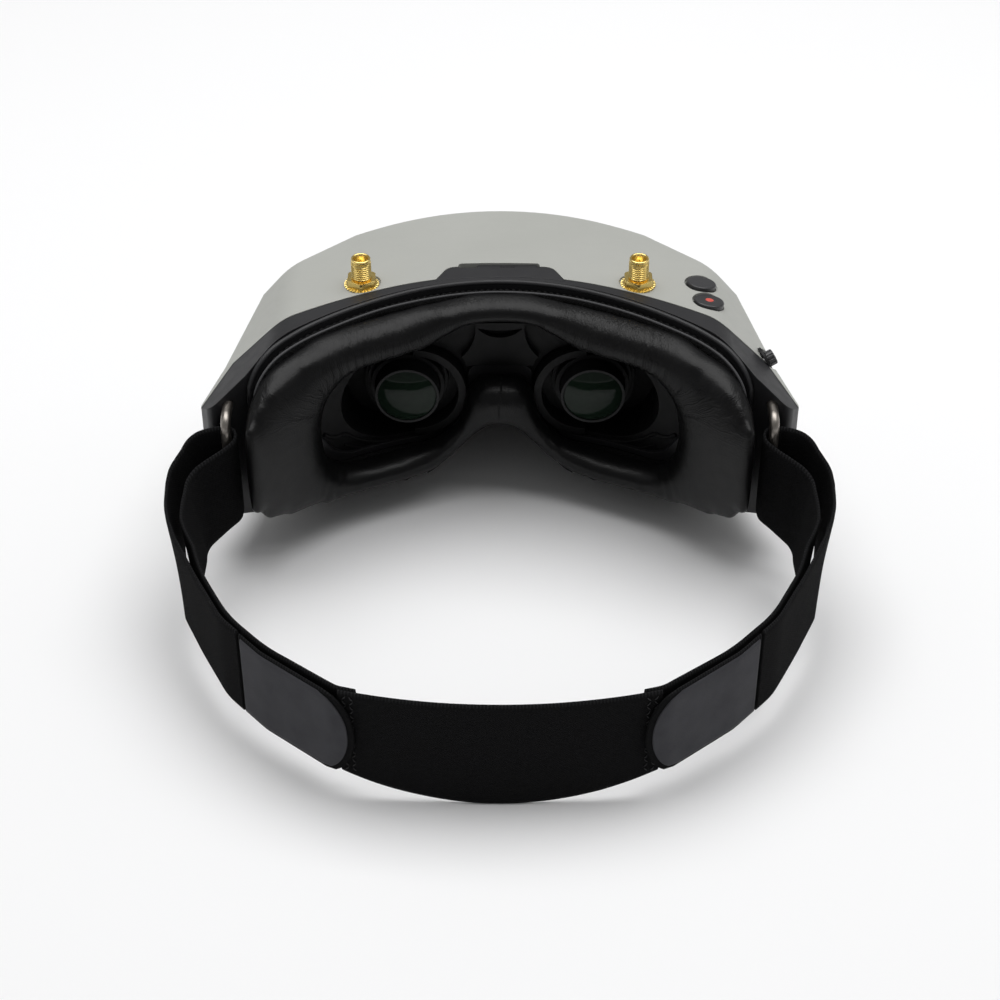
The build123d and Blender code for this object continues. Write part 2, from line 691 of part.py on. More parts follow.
def vent_slider():
    """Slider of the top vent: a ribbed thumb piece with a flange under the wall."""
    x0 = -7.3
    x1 = 11.8
    thumb = rounded_box(x0, x1, SLOT_Y[0] + 0.15, SLOT_Y[1] - 0.15, 74.3, TOP_Z - 0.75, 0.8)
    for step in range(5):
        x = 0.3 + step * 1.0
        thumb += box(x - 0.2, x + 0.2, SLOT_Y[0] + 0.9, SLOT_Y[1] - 0.9, 76.0, TOP_Z - 0.45)
    flange_top = TOP_Z - WALL - 0.3
    flange = box(x0 + 0.3, x1 - 0.3, SLOT_Y[0] - 1.4, SLOT_Y[1] + 1.4, flange_top - 1, flange_top)
    return Rot(-TOP_FALL, 0, 0) * (thumb + flange)


# ---------------------------------------------------------------- optics
def eye_carriage(side):
    """Block that carries barrel, display and focus knob along the guide rods."""
    x = side * EYE_X
    body = box(x - 14, x + 14, 4.4, 26.6, 20.0, 60.5)
    body = fillet(body.edges().filter_by(Axis.Y), 2.0)
    body -= bore_y(x, EYE_Z, BARREL_RADIUS + RUNNING, 14.0, 0)
    body -= box(x - 10, x + 10, 13.9, 30, EYE_Z - 7.5, EYE_Z + 7.5)
    body -= box(x - 12, x + 12, 23.6, 30, EYE_Z - 9.5, EYE_Z + 9.5)
    for z in (ROD_TOP_Z, ROD_LOW_Z):
        rod = Pos(x, ROD_Y, z) * Cylinder(ROD_RADIUS + RUNNING, 40, rotation=(0, 90, 0))
        body -= rod
    return body - bore_z(x, KNOB_Y, KNOB_STEM + RUNNING, 10, 26)


def eye_shroud(side):
    """Stepped light shroud round the lens, with its flange behind the collar."""
    x = side * EYE_X
    shroud_x = side * (EYE_X - SHROUD_IN)
    body = box(shroud_x - 23.3, shroud_x + 23.3, 3.1, 4.3, SHROUD_Z - 14.2, SHROUD_Z + 16.2)
    body += bore_y(shroud_x, SHROUD_Z, SHROUD_RADIUS, 3.2, -1.0)
    body += bore_y(x, EYE_Z, 12.9, 3.2, -4.0)
    body += bore_y(x, EYE_Z, 11.8, 3.2, -7.5)
    guard = bore_y(shroud_x, SHROUD_Z, SHROUD_RADIUS, 3.2, -8.0)
    guard -= bore_y(shroud_x, SHROUD_Z, 13.9, 4, -9)
    body += guard & (Pos(side * (EYE_X - 22), 0, EYE_Z) * Box(40, 40, 80))
    return body - bore_y(x, EYE_Z, BARREL_RADIUS + 0.3, 10, -20)


def lens_barrel(side):
    """Lens barrel that the focus knob slides in and out."""
    x = side * EYE_X
    tube = bore_y(x, EYE_Z, BARREL_RADIUS, 11.0, -13.5)
    tube -= bore_y(x, EYE_Z, LENS_RADIUS + RUNNING, 12.0, -12.9)
    return tube - bore_y(x, EYE_Z, LENS_SIGHT + RUNNING, 0, -14)


def lens(side):
    """Biconvex eye lens, seated in the barrel."""
    x = side * EYE_X
    ball = 22.0
    rear = Pos(x, -15.2 + ball, EYE_Z) * Sphere(ball)
    front = Pos(x, -5.6 - ball, EYE_Z) * Sphere(ball)
    seat = bore_y(x, EYE_Z, LENS_SIGHT, -3, -20) + bore_y(x, EYE_Z, LENS_RADIUS, -3, -12.9)
    return (rear & front) & seat


def display(side):
    """Micro display panel behind the light box."""
    x = side * EYE_X
    return box(x - 11.8, x + 11.8, 23.7, 25.9, EYE_Z - 9.3, EYE_Z + 9.3)


def focus_knob(side):
    """Focus knob under the eye: turn to focus, push sideways to set the eye spacing."""
    x = side * EYE_X
    knob = bore_z(x, KNOB_Y, KNOB_RADIUS, 2.6, 7.8)
    knob = fillet(knob.edges().group_by(Axis.Z)[0], 0.8)
    for step in range(18):
        turn = Pos(x, KNOB_Y, 0) * Rot(0, 0, step * 20) * Pos(KNOB_RADIUS + 0.15, 0, 0)
        knob -= turn * disc(0.5, 0, 10)
    return knob + bore_z(x, KNOB_Y, KNOB_STEM, 7.8, 25)


def guide_rods():
    """Two ground rods that both eye carriages slide on."""
    rods = Part()
    for z in (ROD_TOP_Z, ROD_LOW_Z):
        rods += Pos(0, ROD_Y, z) * Cylinder(ROD_RADIUS, 2 * ROD_HALF_LENGTH, rotation=(0, 90, 0))
    return rods


def rod_brackets():
    """End brackets of the guide rods, standing on the underside cover."""
    parts = Part()
    for side in SIDES.values():
        x = side * BRACKET_X
        parts += box(x - 2.5, x + 2.5, 1.5, 10.5, BELT_Z, 61)
        parts -= bore_z(x, ROD_Y, 1.0, 0, 15)
    return parts - guide_rods()


# ---------------------------------------------------------------- electronics and cooling
def main_board():
    """Main board behind the front grille."""
    return Plane.XZ.offset(-31.6) * extrude(Pos(0, 39) * RectangleRounded(76, 48, 4), -1.6)


def receiver_board():
    """Receiver board under the top, carrying the antenna connectors."""
    board = rounded_box(-52, 52, -5.2, 22, 65.0, 66.6, 3) - box(-34, 34, -10, 2.5, 60, 70)
    for side in SIDES.values():
        for dx in (-2.5, 2.5):
            for dy in (-2.5, 2.5):
                board -= bore_z(side * CONNECTOR_X + dx, dy, 0.5, 60, 70)
    return board


def heat_sink():
    """Finned heat sink on the front of the main board."""
    sink = box(-15, 15, 33.2, 34.8, 27, 53)
    for step in range(9):
        x = -14 + step * 3.5
        sink += box(x - 0.5, x + 0.5, 34.7, 39.5, 27, 53)
    return sink


def fan_frame():
    """Square frame of the fan that keeps the lenses clear."""
    frame = box(-FAN_HALF, FAN_HALF, FAN_Y - 3.5, FAN_Y + 3.5, FAN_Z - FAN_HALF, FAN_Z + FAN_HALF)
    frame = fillet(frame.edges().filter_by(Axis.Y), 2.5)
    frame -= bore_y(0, FAN_Z, 11.4, FAN_Y + 10, FAN_Y - 10)
    hub = bore_y(0, FAN_Z, 4.0, FAN_Y + 3.5, FAN_Y + 2.5)
    for angle in (45, 135):
        arm = Pos(0, FAN_Y + 3.0, FAN_Z) * Rot(0, angle, 0) * Box(24, 1.0, 1.6)
        hub += arm
    hub += bore_y(0, FAN_Z, 0.8, FAN_Y + 3.0, FAN_Y - 2.0)
    return frame + hub


def fan_rotor():
    """Fan rotor with seven blades on its spindle."""
    rotor = bore_y(0, FAN_Z, 4.2, FAN_Y + 2.2, FAN_Y - 3.2)
    for step in range(7):
        blade = Pos(7.2, 0, 0) * Rot(35, 0, 0) * Box(7.4, 0.8, 6.0)
        rotor += Pos(0, FAN_Y - 0.5, FAN_Z) * Rot(0, step * 360 / 7, 0) * blade
    rotor &= bore_y(0, FAN_Z, 10.8, FAN_Y + 2.2, FAN_Y - 3.2)
    return rotor - bore_y(0, FAN_Z, 0.8 + RUNNING, FAN_Y + 10, FAN_Y - 2.2)


# ---------------------------------------------------------------- ports
LEFT_PORTS = {"dc_jack": -9.5, "audio_jack": 0.0, "usb_port": 8.8}
RIGHT_PORTS = {"hdmi_port": -7.0, "card_slot": 7.2}


def port_opening(name):
    """Opening of a port in its local frame."""
    shapes = {
        "dc_jack": Circle(2.8),
        "audio_jack": Circle(1.8),
        "usb_port": SlotOverall(9.2, 3.4),
        "hdmi_port": RectangleRounded(11.4, 3.4, 0.6),
        "card_slot": RectangleRounded(12.4, 1.6, 0.3),
    }
    return shapes[name]


def port_body(name):
    """Outer section of a port's body in its local frame."""
    shapes = {
        "dc_jack": RectangleRounded(8.6, 8.6, 0.6),
        "audio_jack": RectangleRounded(6.0, 6.0, 0.6),
        "usb_port": RectangleRounded(10.6, 4.8, 0.8),
        "hdmi_port": RectangleRounded(13.0, 5.0, 0.8),
        "card_slot": RectangleRounded(14.0, 3.2, 0.4),
    }
    return shapes[name]


def port(name, along, side):
    """A jack or connector behind the port panel, open to the outside."""
    frame = side_frame(side)
    place = Pos(along, 0)
    body = Pos(0, 0, -9.5) * extrude(port_body(name), 8.0)
    hollow = Pos(0, 0, -8.2) * extrude(port_opening(name), 12)
    shape = body - hollow
    if name == "dc_jack":
        shape += disc(1.0, -9.0, -3.0)
    return frame * place * shape


def port_panel(ports, side):
    """Flush panel on a flank with one opening for each port."""
    frame = side_frame(side)
    panel = Pos(0, 0, -1.4) * extrude(RectangleRounded(PANEL[0], PANEL[1], 2), 1.2)
    for name, along in ports.items():
        panel -= Pos(along, 0, -3) * extrude(port_opening(name), 6)
    return frame * panel


# ---------------------------------------------------------------- write every sub-part
single_parts = {
    "front_housing": front_housing,
    "front_grille": front_grille,
    "underside_cover": underside_cover,
    "cover_screws": cover_screws,
    "rear_frame": rear_frame,
    "nose_arch": nose_arch,
    "face_plate": face_plate,
    "hook_strip": hook_strip,
    "face_pad": face_pad,
    "eyepiece_plate": eyepiece_plate,
    "nose_cover": nose_cover,
    "rear_band": rear_band,
    "connector_nuts": connector_nuts,
    "connector_washers": connector_washers,
    "connector_insulators": connector_insulators,
    "connector_pins": connector_pins,
    "tact_switches": tact_switches,
    "button_board": button_board,
    "stick_bezel": stick_bezel,
    "stick_cradle": stick_cradle,
    "stick_stem": stick_stem,
    "stick_cap": stick_cap,
    "vent_slider": vent_slider,
    "guide_rods": guide_rods,
    "rod_brackets": rod_brackets,
    "main_board": main_board,
    "receiver_board": receiver_board,
    "heat_sink": heat_sink,
    "fan_frame": fan_frame,
    "fan_rotor": fan_rotor,
}
paired_parts = {
    "bail": bail,
    "strap": strap,
    "strap_tab": strap_tab,
    "antenna_connector": connector,
    "eye_carriage": eye_carriage,
    "eye_shroud": eye_shroud,
    "lens_barrel": lens_barrel,
    "lens": lens,
    "display": display,
    "focus_knob": focus_knob,
}

for name, make in single_parts.items():
    write(make(), name)
for name, make in paired_parts.items():
    for side_name, side in SIDES.items():
        write(make(side), f"{side_name}_{name}")
for name in BUTTONS:
    write(button(name), name)
for name, along in LEFT_PORTS.items():
    write(port(name, along, SIDES["left"]), name)
for name, along in RIGHT_PORTS.items():
    write(port(name, along, SIDES["right"]), name)
write(port_panel(LEFT_PORTS, SIDES["left"]), "left_port_panel")
write(port_panel(RIGHT_PORTS, SIDES["right"]), "right_port_panel")
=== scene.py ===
import json
import math

import bmesh
import bpy
import numpy as np
from mathutils import Matrix, Vector, noise


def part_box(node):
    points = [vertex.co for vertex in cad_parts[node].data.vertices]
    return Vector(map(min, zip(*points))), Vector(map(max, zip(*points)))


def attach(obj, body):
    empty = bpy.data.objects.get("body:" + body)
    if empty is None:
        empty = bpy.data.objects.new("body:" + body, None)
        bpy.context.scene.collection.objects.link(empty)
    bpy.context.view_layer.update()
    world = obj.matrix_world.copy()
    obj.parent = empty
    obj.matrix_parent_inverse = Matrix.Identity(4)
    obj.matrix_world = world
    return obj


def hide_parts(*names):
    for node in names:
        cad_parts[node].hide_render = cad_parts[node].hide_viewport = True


# FPV goggles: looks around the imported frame. Metres in Blender. The helpers take millimetres,
# with Y measured from the plane of the two antenna connectors, as the goggles were drawn.

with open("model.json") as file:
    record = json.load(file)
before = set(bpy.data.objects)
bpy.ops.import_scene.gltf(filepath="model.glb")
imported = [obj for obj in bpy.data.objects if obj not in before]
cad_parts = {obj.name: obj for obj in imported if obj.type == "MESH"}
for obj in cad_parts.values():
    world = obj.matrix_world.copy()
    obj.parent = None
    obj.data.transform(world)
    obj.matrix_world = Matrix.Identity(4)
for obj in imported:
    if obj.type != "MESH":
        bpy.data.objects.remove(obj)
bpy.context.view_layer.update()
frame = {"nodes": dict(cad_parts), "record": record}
nodes = frame["nodes"]
connector_low, connector_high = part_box("left_antenna_connector")
CONNECTOR_Y = (connector_low.y + connector_high.y) / 2
SIDES = {"left": -1, "right": 1}


def at(x, y, z):
    """A drawn point, in millimetres, as a point of the frame."""
    return Vector((x / 1000, y / 1000 + CONNECTOR_Y, z / 1000))


# ---------------------------------------------------------------- camera, light and floor
camera_data = bpy.data.cameras.new("camera")
camera_data.lens = 75.6
camera_data.sensor_width = 36.0
camera_data.clip_end = 20.0
camera = bpy.data.objects.new("camera", camera_data)
camera.location = at(0, -559, 425.5)
camera.rotation_euler = (math.radians(52.0), 0, 0)
bpy.context.scene.collection.objects.link(camera)
bpy.context.scene.camera = camera
bpy.context.scene.view_settings.view_transform = "Standard"


def area_light(name, place, target, size, power):
    data = bpy.data.lights.new(name, "AREA")
    data.shape = "RECTANGLE"
    data.size, data.size_y = size
    data.energy = power
    lamp = bpy.data.objects.new(name, data)
    lamp.location = place
    lamp.rotation_euler = (Vector(target) - Vector(place)).to_track_quat("-Z", "Y").to_euler()
    bpy.context.scene.collection.objects.link(lamp)
    return lamp


area_light("top_light", (0.05, 0.25, 1.30), (0, 0, 0), (1.6, 1.2), 20.0)
area_light("left_light", (-1.1, -0.1, 0.75), (0, 0, 0.05), (0.5, 1.2), 0.9)
area_light("right_light", (1.1, 0.1, 0.75), (0, 0, 0.05), (0.5, 1.2), 1.1)

world = bpy.data.worlds.new("studio")
world.use_nodes = True
world.node_tree.nodes["Background"].inputs["Color"].default_value = (1.0, 1.0, 1.0, 1.0)
world.node_tree.nodes["Background"].inputs["Strength"].default_value = 0.24
bpy.context.scene.world = world


# ---------------------------------------------------------------- materials
class Shade:
    """A material under construction: each add() makes a node and links or sets its inputs."""

    def __init__(self, name, color, roughness, **sockets):
        self.material = bpy.data.materials.new(name)
        self.material.use_nodes = True
        self.tree = self.material.node_tree
        self.shader = self.tree.nodes["Principled BSDF"]
        self.shader.inputs["Base Color"].default_value = (*color, 1.0)
        self.shader.inputs["Roughness"].default_value = roughness
        for socket, value in sockets.items():
            self.shader.inputs[socket.replace("_", " ")].default_value = value
        self.place = self.add("ShaderNodeTexCoord").outputs["Object"]

    def add(self, kind, inputs=None, **settings):
        made = self.tree.nodes.new(kind)
        for key, value in settings.items():
            setattr(made, key, value)
        for key, value in (inputs or {}).items():
            if isinstance(value, bpy.types.NodeSocket):
                self.tree.links.new(value, made.inputs[key])
            else:
                made.inputs[key].default_value = value
        return made

    def stretched(self, source, factors):
        """Coordinates multiplied along each axis."""
        scale = self.add("ShaderNodeVectorMath", {0: source, 1: factors}, operation="MULTIPLY")
        return scale.outputs[0]

    def noise(self, per_mm, detail=3.0, place=None, distortion=0.0):
        values = {"Vector": place or self.place, "Scale": per_mm * 1000, "Detail": detail,
                  "Distortion": distortion}
        return self.add("ShaderNodeTexNoise", values).outputs["Fac"]

    def cells(self, per_mm, place=None, feature="F1"):
        values = {"Vector": place or self.place, "Scale": per_mm * 1000}
        made = self.add("ShaderNodeTexVoronoi", values, feature=feature)
        return made.outputs["Distance"]

    def remap(self, value, low, high, to_low, to_high):
        values = {"Value": value, "From Min": low, "From Max": high, "To Min": to_low, "To Max": to_high}
        return self.add("ShaderNodeMapRange", values).outputs["Result"]

    def math(self, operation, first, second=0.0):
        return self.add("ShaderNodeMath", {0: first, 1: second}, operation=operation).outputs[0]

    def split(self, vector):
        return self.add("ShaderNodeSeparateXYZ", {0: vector}).outputs

    def attribute(self, name):
        return self.add("ShaderNodeAttribute", attribute_name=name).outputs["Vector"]

    def colours(self, factor, first, second):
        values = {"Factor": factor, "A": (*first, 1.0), "B": (*second, 1.0)}
        made = self.add("ShaderNodeMix", data_type="RGBA")
        self.tree.links.new(factor, made.inputs[0])
        made.inputs[6].default_value = values["A"]
        made.inputs[7].default_value = values["B"]
        self.tree.links.new(made.outputs[2], self.shader.inputs["Base Color"])
        return made.outputs[2]

    def rough(self, value):
        self.tree.links.new(value, self.shader.inputs["Roughness"])

    def bump(self, height, depth_mm, strength=1.0, below=None):
        values = {"Height": height, "Distance": depth_mm / 1000, "Strength": strength}
        if below is not None:
            values["Normal"] = below
        return self.add("ShaderNodeBump", values).outputs["Normal"]

    def edges(self, radius_mm):
        """Normals that round the sharp edges of a moulded or machined part."""
        return self.add("ShaderNodeBevel", {"Radius": radius_mm / 1000}, samples=4).outputs["Normal"]

    def normal(self, value):
        self.tree.links.new(value, self.shader.inputs["Normal"])
        return self.material


def moulded(name, dark, light, roughness, grain_mm, depth_mm, edge_mm, **sockets):
    """Moulded plastic: slight tone changes, a fine grain and softened edges."""
    shade = Shade(name, dark, roughness, **sockets)
    tone = shade.noise(0.035, 4.0)
    shade.colours(shade.remap(tone, 0.3, 0.7, 0.0, 1.0), dark, light)
    rub = shade.noise(0.25, 5.0)
    shade.rough(shade.remap(rub, 0.3, 0.7, roughness - 0.04, roughness + 0.06))
    rounded_edges = shade.edges(edge_mm)
    grain = shade.noise(1 / grain_mm, 2.0)
    return shade.normal(shade.bump(grain, depth_mm, 1.0, rounded_edges))


def metal(name, colour, roughness, brushed_mm, edge_mm, darker=0.75):
    """Plated or drawn metal: fine scratches, slightly uneven tone and softened edges."""
    shade = Shade(name, colour, roughness, Metallic=1.0)
    tone = shade.noise(0.6, 4.0)
    shade.colours(shade.remap(tone, 0.25, 0.75, 0.0, 1.0), tuple(c * darker for c in colour), colour)
    scratch = shade.noise(1 / brushed_mm, 3.0, shade.stretched(shade.place, (1.0, 1.0, 0.15)))
    shade.rough(shade.remap(scratch, 0.3, 0.7, roughness - 0.05, roughness + 0.08))
    return shade.normal(shade.bump(scratch, 0.004, 0.6, shade.edges(edge_mm)))


def leatherette():
    """Soft coated cloth: pebble grain, with fine creases that run across the roll of the pad."""
    shade = Shade("leatherette", (0.004, 0.004, 0.0043), 0.33, Specular_IOR_Level=0.2)
    around = shade.attribute("around")
    fields = shade.split(around)
    crease_mask = fields[2]
    wander = shade.noise(0.12, 2.0)
    drift = shade.math("MULTIPLY", shade.math("SUBTRACT", wander, 0.5), 0.004)
    along = shade.math("ADD", fields[0], drift)
    flow = shade.add("ShaderNodeCombineXYZ", {0: along, 1: fields[1], 2: 0.0}).outputs[0]
    crease = shade.cells(1.0, shade.stretched(flow, (1.5, 0.42, 1.0)), "DISTANCE_TO_EDGE")
    fine = shade.cells(1.0, shade.stretched(flow, (2.8, 1.4, 1.0)), "DISTANCE_TO_EDGE")
    pebble = shade.cells(2.3)
    crease_height = shade.remap(crease, 0.0, 0.34, 0.0, 1.0)
    fine_height = shade.remap(fine, 0.0, 0.3, 0.0, 0.45)
    folds = shade.math("MULTIPLY", shade.math("ADD", crease_height, fine_height), crease_mask)
    base = shade.bump(pebble, 0.05, 0.55)
    creased = shade.bump(folds, 0.13, 0.8, base)
    tone = shade.noise(0.09, 3.0)
    shade.colours(shade.remap(tone, 0.3, 0.7, 0.0, 1.0), (0.0035, 0.0035, 0.0038), (0.0055, 0.0055, 0.0058))
    polish = shade.noise(0.3, 4.0)
    shade.rough(shade.remap(polish, 0.3, 0.7, 0.28, 0.38))
    return shade.normal(creased)


def woven(name, dark, light, pitch_mm, rib_mm, edge_light):
    """Narrow woven elastic: rows of ribs, crossed threads and a lighter stitched selvedge."""
    shade = Shade(name, dark, 0.92, Specular_IOR_Level=0.06)
    fields = shade.split(shade.attribute("around"))
    warp = shade.math("SINE", shade.math("MULTIPLY", fields[1], 2000 * math.pi / rib_mm))
    weft = shade.math("SINE", shade.math("MULTIPLY", fields[0], 2000 * math.pi / pitch_mm))
    both = shade.math("MULTIPLY", warp, weft)
    fuzz = shade.noise(2.4, 4.0)
    height = shade.math("ADD", shade.math("MULTIPLY", both, 0.35), fuzz)
    selvedge = shade.remap(fields[2], 0.0, 1.1, 1.0, 0.0)
    stitch = shade.remap(weft, 0.1, 0.7, 0.0, 1.0)
    bright = shade.math("MULTIPLY", shade.math("MULTIPLY", selvedge, stitch), edge_light)
    tone = shade.math("MULTIPLY", shade.remap(fuzz, 0.35, 0.75, 0.0, 1.0), 0.5)
    shade.colours(shade.math("ADD", bright, tone), dark, light)
    return shade.normal(shade.bump(height, 0.16, 0.8))


def brushed_cloth(name, dark, light):
    """Short brushed pile of the hook tabs."""
    shade = Shade(name, dark, 0.95, Sheen_Weight=0.08, Sheen_Roughness=0.5, Specular_IOR_Level=0.08)
    pile = shade.noise(5.5, 3.0)
    patch = shade.noise(0.16, 3.0)
    mix = shade.math("MULTIPLY", shade.math("ADD", pile, patch), 0.5)
    shade.colours(shade.remap(mix, 0.3, 0.7, 0.0, 1.0), dark, light)
    return shade.normal(shade.bump(pile, 0.12, 0.7))


def coated_glass():
    """Eye lens: a dark polished dome with a faint green coating."""
    shade = Shade("lens_glass", (0.010, 0.018, 0.012), 0.07, IOR=1.52, Specular_IOR_Level=0.16)
    smudge = shade.noise(0.5, 4.0)
    shade.colours(smudge, (0.007, 0.013, 0.009), (0.012, 0.022, 0.014))
    shade.rough(shade.remap(smudge, 0.4, 0.8, 0.03, 0.08))
    return shade.normal(shade.bump(smudge, 0.001, 0.2))


materials = {
    "pale_shell": moulded("pale_shell", (0.375, 0.38, 0.355), (0.395, 0.40, 0.375), 0.42, 0.16, 0.006, 0.35),
    "dark_shell": moulded("dark_shell", (0.014, 0.014, 0.015), (0.019, 0.019, 0.02), 0.45, 0.2, 0.01, 0.4),
    "frame_plastic": moulded("frame_plastic", (0.018, 0.018, 0.0195), (0.024, 0.024, 0.026), 0.40, 0.22,
                             0.010, 0.45, Specular_IOR_Level=0.32),
    "black_plastic": moulded("black_plastic", (0.008, 0.008, 0.0085), (0.011, 0.011, 0.012), 0.45, 0.25,
                             0.010, 0.3, Specular_IOR_Level=0.25),
    "matte_black": moulded("matte_black", (0.0055, 0.0055, 0.006), (0.008, 0.008, 0.0085), 0.55, 0.28,
                           0.014, 0.3, Specular_IOR_Level=0.22),
    "button_black": moulded("button_black", (0.026, 0.026, 0.028), (0.034, 0.034, 0.036), 0.33, 0.2,
                            0.008, 0.25),
    "white_plastic": moulded("white_plastic", (0.62, 0.52, 0.32), (0.66, 0.56, 0.36), 0.35, 0.3, 0.005, 0.1),
    "display": moulded("display", (0.004, 0.006, 0.005), (0.006, 0.009, 0.007), 0.2, 0.4, 0.002, 0.1),
    "hook_fabric": woven("hook_fabric", (0.007, 0.007, 0.007), (0.03, 0.03, 0.032), 1.0, 0.9, 0.2),
    "elastic": woven("elastic", (0.005, 0.005, 0.0052), (0.016, 0.016, 0.017), 0.95, 0.8, 2.0),
    "tab_fabric": brushed_cloth("tab_fabric", (0.040, 0.040, 0.045), (0.062, 0.062, 0.068)),
    "leatherette": leatherette(),
    "wire": metal("wire", (0.36, 0.33, 0.30), 0.36, 0.3, 0.05),
    "steel": metal("steel", (0.56, 0.56, 0.57), 0.3, 0.25, 0.1),
    "aluminium": metal("aluminium", (0.66, 0.66, 0.68), 0.35, 0.25, 0.15),
    "gold": metal("gold", (1.0, 0.76, 0.27), 0.2, 0.2, 0.12, 0.9),
    "lens_glass": coated_glass(),
}


def board_material():
    """Circuit board: solder mask with darker copper routes under it."""
    shade = Shade("board", (0.01, 0.06, 0.025), 0.3, Coat_Weight=0.3)
    tracks = shade.add("ShaderNodeTexBrick", {"Vector": shade.place, "Scale": 240.0}).outputs["Fac"]
    shade.colours(tracks, (0.008, 0.05, 0.02), (0.015, 0.085, 0.035))
    return shade.normal(shade.bump(tracks, 0.03, 0.5))


materials["board"] = board_material()


def thread_material(name, colour):
    """Sewing thread, twisted."""
    shade = Shade(name, colour, 0.6, Specular_IOR_Level=0.3)
    twist = shade.noise(3.0, 3.0)
    shade.colours(twist, tuple(c * 0.7 for c in colour), tuple(c * 1.25 for c in colour))
    return shade.normal(shade.bump(twist, 0.05, 0.6))


def paint_material(name, colour):
    """Small printed mark, a little uneven."""
    shade = Shade(name, colour, 0.35)
    uneven = shade.noise(1.5, 4.0)
    shade.colours(uneven, tuple(c * 0.85 for c in colour), colour)
    return shade.normal(shade.bump(uneven, 0.01, 0.3))


for row in frame["record"]["subparts"]:
    mesh = nodes[row["node"]].data
    mesh.materials.clear()
    mesh.materials.append(materials[row["material_slot"]])


# ---------------------------------------------------------------- floor
def floor():
    bm = bmesh.new()
    bmesh.ops.create_grid(bm, x_segments=8, y_segments=8, size=4.0)
    mesh = bpy.data.meshes.new("floor")
    bm.to_mesh(mesh)
    bm.free()
    made = bpy.data.objects.new("floor", mesh)
    made.location = (0, 0, -0.00015)
    bpy.context.scene.collection.objects.link(made)
    shade = Shade("floor_paper", (0.9, 0.9, 0.9), 0.7, Specular_IOR_Level=0.15)
    tone = shade.noise(0.002, 2.0)
    shade.colours(tone, (0.885, 0.885, 0.89), (0.9, 0.9, 0.905))
    mesh.materials.append(shade.material)


floor()


# ---------------------------------------------------------------- mesh helpers
def piece(name, verts, faces, material, body="root", around=None, smooth=True):
    """A new mesh piece in the frame, riding on a body."""
    mesh = bpy.data.meshes.new(name)
    mesh.from_pydata([tuple(v) for v in verts], [], [tuple(f) for f in faces])
    mesh.update()
    bm = bmesh.new()
    bm.from_mesh(mesh)
    bmesh.ops.recalc_face_normals(bm, faces=bm.faces)
    bm.to_mesh(mesh)
    bm.free()
    if around is not None:
        store_around(mesh, around)
    mesh.materials.append(material)
    if smooth:
        mesh.polygons.foreach_set("use_smooth", [True] * len(mesh.polygons))
    made = bpy.data.objects.new(name, mesh)
    bpy.context.scene.collection.objects.link(made)
    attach(made, body)
    return made


def store_around(mesh, around):
    """Per point: metres along the piece, metres across it, and a third field of the material's."""
    layer = mesh.attributes.new("around", "FLOAT_VECTOR", "POINT")
    layer.data.foreach_set("vector", np.asarray(around, np.float32).ravel())


def rounded(points, radii, closed=False, step=1.0):
    """Straight runs joined by arcs, as a list of 2-D points."""
    count = len(points)
    corners = [Vector(p) for p in points]
    found = [] if closed else [corners[0]]
    for index in range(count) if closed else range(1, count - 1):
        here = corners[index]
        radius = radii[index] if closed else radii[index - 1]
        into = (corners[index - 1] - here).normalized()
        out = (corners[(index + 1) % count] - here).normalized()
        half = into.angle(out) / 2
        centre = here + (into + out).normalized() * (radius / math.sin(half))
        first = here + into * (radius / math.tan(half)) - centre
        last = here + out * (radius / math.tan(half)) - centre
        turn = math.pi - 2 * half
        steps = max(3, round(radius * turn / step))
        for k in range(steps + 1):
            t = k / steps
            found.append(centre + first * (math.sin((1 - t) * turn) / math.sin(turn))
                         + last * (math.sin(t * turn) / math.sin(turn)))
    if not closed:
        found.append(corners[-1])
    return [tuple(p) for p in found]


def resample(points, count, closed=False):
    """The same line as evenly spaced points."""
    line = np.array(points, float)
    if closed:
        line = np.vstack([line, line[:1]])
    gone = np.r_[0, np.cumsum(np.linalg.norm(np.diff(line, axis=0), axis=1))]
    wanted = np.linspace(0, gone[-1], count, endpoint=not closed)
    return np.stack([np.interp(wanted, gone, line[:, k]) for k in range(line.shape[1])], 1)


def run_length(points):
    """Distance gone at each point of a line."""
    return np.r_[0, np.cumsum(np.linalg.norm(np.diff(points, axis=0), axis=1))]


def mirrored(points):
    """A closed outline from its right half, which runs from the top centre to the bottom centre."""
    left = [(-x, z) for x, z in reversed(points) if x > 0.01]
    return list(points) + left


def bent(x, z, radius):
    """A point of the face plate's curve, at a distance from the curve's centre."""
    return at(x, FACE_CENTRE_Y + math.sqrt(radius ** 2 - x ** 2), z)


FACE_CENTRE_Y = -97.5
RIM_RADIUS = 94.5


